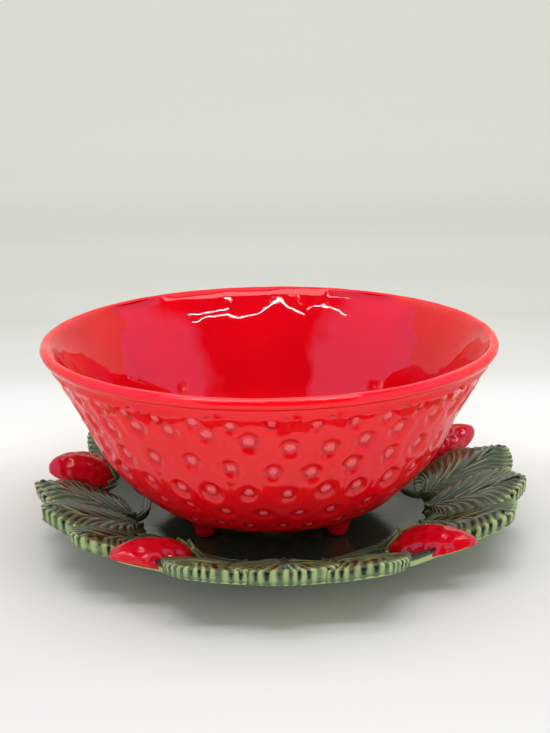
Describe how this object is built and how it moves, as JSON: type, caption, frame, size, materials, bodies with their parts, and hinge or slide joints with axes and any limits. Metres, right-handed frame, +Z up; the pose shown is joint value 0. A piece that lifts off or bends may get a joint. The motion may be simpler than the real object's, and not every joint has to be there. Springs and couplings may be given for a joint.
{
  "type": "berry colander bowl",
  "caption": "Glazed earthenware berry colander: a footed round bowl with drain holes in its base, standing loose on a leaf-edged drip plate.",
  "frame": {"origin": "middle of the plate's foot ring, on the surface that it stands on", "axes": "+Z up; -Y is the front, the side that the picture shows; +X to the right as seen from the front"},
  "size_m": [0.2411, 0.2401, 0.1003],
  "materials": {
    "bowl_glaze": "glossy red glaze, darker towards the base",
    "strawberry_glaze": "glossy red glaze",
    "leaf_glaze": "glossy translucent green glaze, dark where it pools",
    "sepal_glaze": "glossy light green glaze",
    "well_glaze": "glossy dark green glaze"
  },
  "bodies": {
    "plate": {"plate_dish": "well_glaze", "strawberry_front_left": "strawberry_glaze", "strawberry_front_right": "strawberry_glaze", "strawberry_right": "strawberry_glaze", "strawberry_back": "strawberry_glaze", "strawberry_left": "strawberry_glaze", "calyx_front_left": "sepal_glaze", "calyx_front_right": "sepal_glaze", "calyx_right": "sepal_glaze", "calyx_back": "sepal_glaze", "calyx_left": "sepal_glaze", "vine_front_left": "leaf_glaze", "vine_front_right": "leaf_glaze", "vine_right": "leaf_glaze", "vine_back": "leaf_glaze", "vine_left": "leaf_glaze", "leaf_front_near": "leaf_glaze", "leaf_front_middle": "leaf_glaze", "leaf_front_far": "leaf_glaze", "leaf_right_near": "leaf_glaze", "leaf_right_middle": "leaf_glaze", "leaf_right_far": "leaf_glaze", "leaf_back_right_near": "leaf_glaze", "leaf_back_right_middle": "leaf_glaze", "leaf_back_right_far": "leaf_glaze", "leaf_back_left_near": "leaf_glaze", "leaf_back_left_middle": "leaf_glaze", "leaf_back_left_far": "leaf_glaze", "leaf_left_near": "leaf_glaze", "leaf_left_middle": "leaf_glaze", "leaf_left_far": "leaf_glaze"},
    "bowl": {"bowl_shell": "bowl_glaze", "bowl_foot_front_right": "bowl_glaze", "bowl_foot_back_right": "bowl_glaze", "bowl_foot_back_left": "bowl_glaze", "bowl_foot_front_left": "bowl_glaze"}
  },
  "joints": [
    {"name": "bowl_lift", "type": "slide", "parent": "plate", "child": "bowl", "axis": [0, 0, 1], "range_m": [0, 0.12]}
  ]
}
